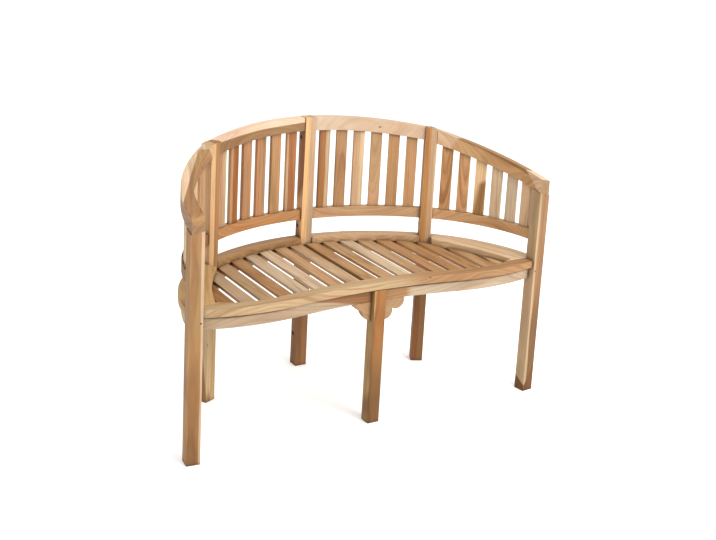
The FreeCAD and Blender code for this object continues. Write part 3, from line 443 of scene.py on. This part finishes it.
# Seat boards
# Flat boards that frame the seat: one curved piece behind each half of the back, one on
# each side, and the wavy front board with its eased edge, browner towards its right end.
for node, heart, along, knot in (("left_back_seat_board", "93704b", chord, None),
                                 ("right_back_seat_board", "ae8f6c", chord, (-70, 38, 12, 7)),
                                 ("left_side_seat_board", "a78659", arm_chord, None),
                                 ("right_side_seat_board", "c1a584", arm_chord, None)):
    teak(node, heart, along, UP, arris=2, figure=0.7, knot=knot)
teak("front_seat_board", "a38a69", chord, UP, arris=3, figure=0.8, knot=(168, -15, 9, 3.5),
     zones=[("94704a", 90, (1, 0, 0, 110))])

# Seat slats
# Seventeen straight laths from front to back, a finger apart, screwed from below to the
# ledgers. Their tones differ as much as those of the back slats.
WOOD_OF_LATHS = ("845d35", "9a846a", "987d5c", "916d45", "aa967d", "b39d84", "a4825f", "a68e6f",
                 "9b7a52", "a0805b", "b5a186", "a38461", "9d774e", "99734a", "987248", "9f7b55",
                 "c1a074")
for number, heart in enumerate(WOOD_OF_LATHS, start=1):
    teak(f"seat_slat_{number:02d}", heart, BACKWARDS, UP, figure=0.8,
         pith=(20 - 7 * (number % 6), -30 + 9 * (number % 4)), tilt=(number % 3 - 1, number % 5 - 2))

# Bolts, pins and screws
# Steel fasteners, sunk in the wood and browned by the teak's tannin. Their near-black
# colour also paints the shade of the holes they sit in, so they look like dull dark dots.
stained_steel_and_hole_shade = bpy.data.materials.new("stained_steel_with_painted_hole_shade")
stained_steel_and_hole_shade.use_nodes = True
tree = stained_steel_and_hole_shade.node_tree
tree.nodes.clear()
where = add(tree, "TexCoord")["Object"]
# Rust blooms are about 2 mm across.
bloom = add(tree, "TexNoise", {"Vector": where, "Scale": 1 / (2 * MM), "Detail": 3})[0]
stain = add(tree, "Mix", {"Factor": bloom, 6: linear("17120f"), 7: linear("2c211a")},
            data_type="RGBA")[2]
rough = add(tree, "MapRange", {"Value": bloom, 1: 0.3, 2: 0.7, 3: 0.45, 4: 0.7})[0]
shader = add(tree, "BsdfPrincipled", {"Base Color": stain, "Metallic": 0.25, "Roughness": rough})[0]
add(tree, "OutputMaterial", {0: shader})
for node in ("panel_bolts", "tenon_pins", "slat_screws"):
    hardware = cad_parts[node]
    if not hardware.material_slots:
        hardware.data.materials.append(stained_steel_and_hole_shade)
    for slot in hardware.material_slots:
        slot.material = stained_steel_and_hole_shade

# Floor, light and camera
# A white paper floor that runs out of the picture, lit so brightly from all round that
# it stays white, with one soft light overhead and a stronger one in front of the bench.
reach = 30
floor_mesh = bpy.data.meshes.new("floor")
floor_mesh.from_pydata([(-reach, -reach, 0), (reach, -reach, 0), (reach, reach, 0), (-reach, reach, 0)],
                       [], [(0, 1, 2, 3)])
floor = bpy.data.objects.new("floor", floor_mesh)
bpy.context.scene.collection.objects.link(floor)
paper = bpy.data.materials.new("white_paper")
paper.use_nodes = True
paper.node_tree.nodes.clear()
shader = add(paper.node_tree, "BsdfPrincipled",
             {"Base Color": (0.9, 0.9, 0.9, 1), "Roughness": 0.9, "Specular IOR Level": 0.1,
              "Emission Color": (1, 1, 1, 1), "Emission Strength": 0.18})[0]
add(paper.node_tree, "OutputMaterial", {0: shader})
floor_mesh.materials.append(paper)

world = bpy.data.worlds.new("studio")
bpy.context.scene.world = world
world.use_nodes = True
world.node_tree.nodes["Background"].inputs["Color"].default_value = (1, 1, 1, 1)
world.node_tree.nodes["Background"].inputs["Strength"].default_value = 1.0


def softbox(name, spot, target, size, power):
    """A square soft light that faces the bench, its size in metres and its power in watts."""
    light = bpy.data.lights.new(name, "AREA")
    light.size = size
    light.energy = power
    lamp = bpy.data.objects.new(name, light)
    bpy.context.scene.collection.objects.link(lamp)
    lamp.location = spot
    lamp.rotation_euler = (Vector(target) - Vector(spot)).to_track_quat("-Z", "Y").to_euler()


softbox("overhead", (0.4, -0.9, 4.4), (0, 0, 0.4), size=3.2, power=98)
softbox("front", (1.3, -4.0, 2.5), (0, 0.1, 0.6), size=2.2, power=170)

bpy.context.scene.view_settings.view_transform = "Standard"

# The camera stands where the photograph was taken from, as the bench's own upright and
# level edges give it. Its turns are in radians.
lens = bpy.data.cameras.new("camera")
lens.sensor_width = 36
lens.lens = 58.098
lens.shift_x = -0.08128
lens.shift_y = -0.14133
lens.clip_end = 100
camera = bpy.data.objects.new("camera", lens)
bpy.context.scene.collection.objects.link(camera)
stand = (-1.75362, -2.99707, 1.59232)
yaw, pitch, roll = -0.591685, 0.235725, 0.066516
forward = Vector((-math.sin(yaw) * math.cos(pitch), math.cos(yaw) * math.cos(pitch), -math.sin(pitch)))
level = Vector((math.cos(yaw), math.sin(yaw), 0))
upright = level.cross(forward)
right = math.cos(roll) * level + math.sin(roll) * upright
top = math.cos(roll) * upright - math.sin(roll) * level
turned = Matrix((right, top, -forward)).transposed().to_4x4()
camera.matrix_world = Matrix.Translation(stand) @ turned
bpy.context.scene.camera = camera
